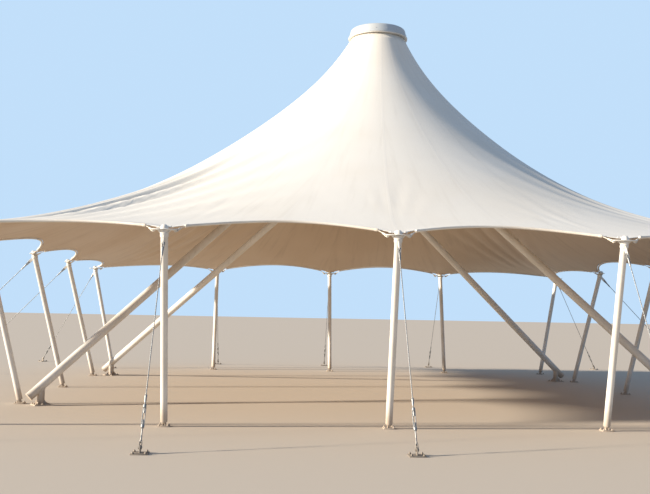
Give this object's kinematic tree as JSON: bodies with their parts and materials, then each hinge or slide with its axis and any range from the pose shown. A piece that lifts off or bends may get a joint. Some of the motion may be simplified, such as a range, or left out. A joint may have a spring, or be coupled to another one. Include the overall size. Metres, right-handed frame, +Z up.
{
  "type": "high-point tension membrane canopy",
  "caption": "Square conic membrane canopy with scalloped edges on leaning masts with tie-back stays, its capped peak ring held on a king post by inclined tubular struts.",
  "frame": {"origin": "centre of the mast plan on the ground, under the canopy", "axes": "+Z up, -Y towards the side that the picture is taken from, +X to the right in it"},
  "size_m": [20.02, 18.5786, 8.4518],
  "materials": {
    "membrane": "PVC-coated polyester membrane, warm white, semi-matt, with welded panel seams",
    "cuff": "double membrane cuff closed round a galvanised edge cable",
    "white_steel": "white gloss paint on steel tube, a little weathered",
    "galvanised": "galvanised wire rope, turnbuckle and anchor plate"
  },
  "bodies": {
    "root": {"membrane_front": "membrane", "edge_cable_front": "cuff", "front_mast_1": "white_steel", "front_stay_1": "galvanised", "front_mast_2": "white_steel", "front_stay_2": "galvanised", "front_mast_3": "white_steel", "front_stay_3": "galvanised", "corner_mast_front_right": "white_steel", "corner_stay_front_right": "galvanised", "membrane_right": "membrane", "edge_cable_right": "cuff", "right_mast_1": "white_steel", "right_stay_1": "galvanised", "right_mast_2": "white_steel", "right_stay_2": "galvanised", "right_mast_3": "white_steel", "right_stay_3": "galvanised", "corner_mast_back_right": "white_steel", "corner_stay_back_right": "galvanised", "membrane_back": "membrane", "edge_cable_back": "cuff", "back_mast_1": "white_steel", "back_stay_1": "galvanised", "back_mast_2": "white_steel", "back_stay_2": "galvanised", "back_mast_3": "white_steel", "back_stay_3": "galvanised", "corner_mast_back_left": "white_steel", "corner_stay_back_left": "galvanised", "membrane_left": "membrane", "edge_cable_left": "cuff", "left_mast_1": "white_steel", "left_stay_1": "galvanised", "left_mast_2": "white_steel", "left_stay_2": "galvanised", "left_mast_3": "white_steel", "left_stay_3": "galvanised", "corner_mast_front_left": "white_steel", "corner_stay_front_left": "galvanised", "strut_front_left": "white_steel", "pedestal_front_left": "white_steel", "strut_front_right": "white_steel", "pedestal_front_right": "white_steel", "strut_back_right": "white_steel", "pedestal_back_right": "white_steel", "strut_back_left": "white_steel", "pedestal_back_left": "white_steel", "king_post": "white_steel", "peak_ring": "white_steel", "peak_cap": "white_steel"}
  },
  "joints": []
}
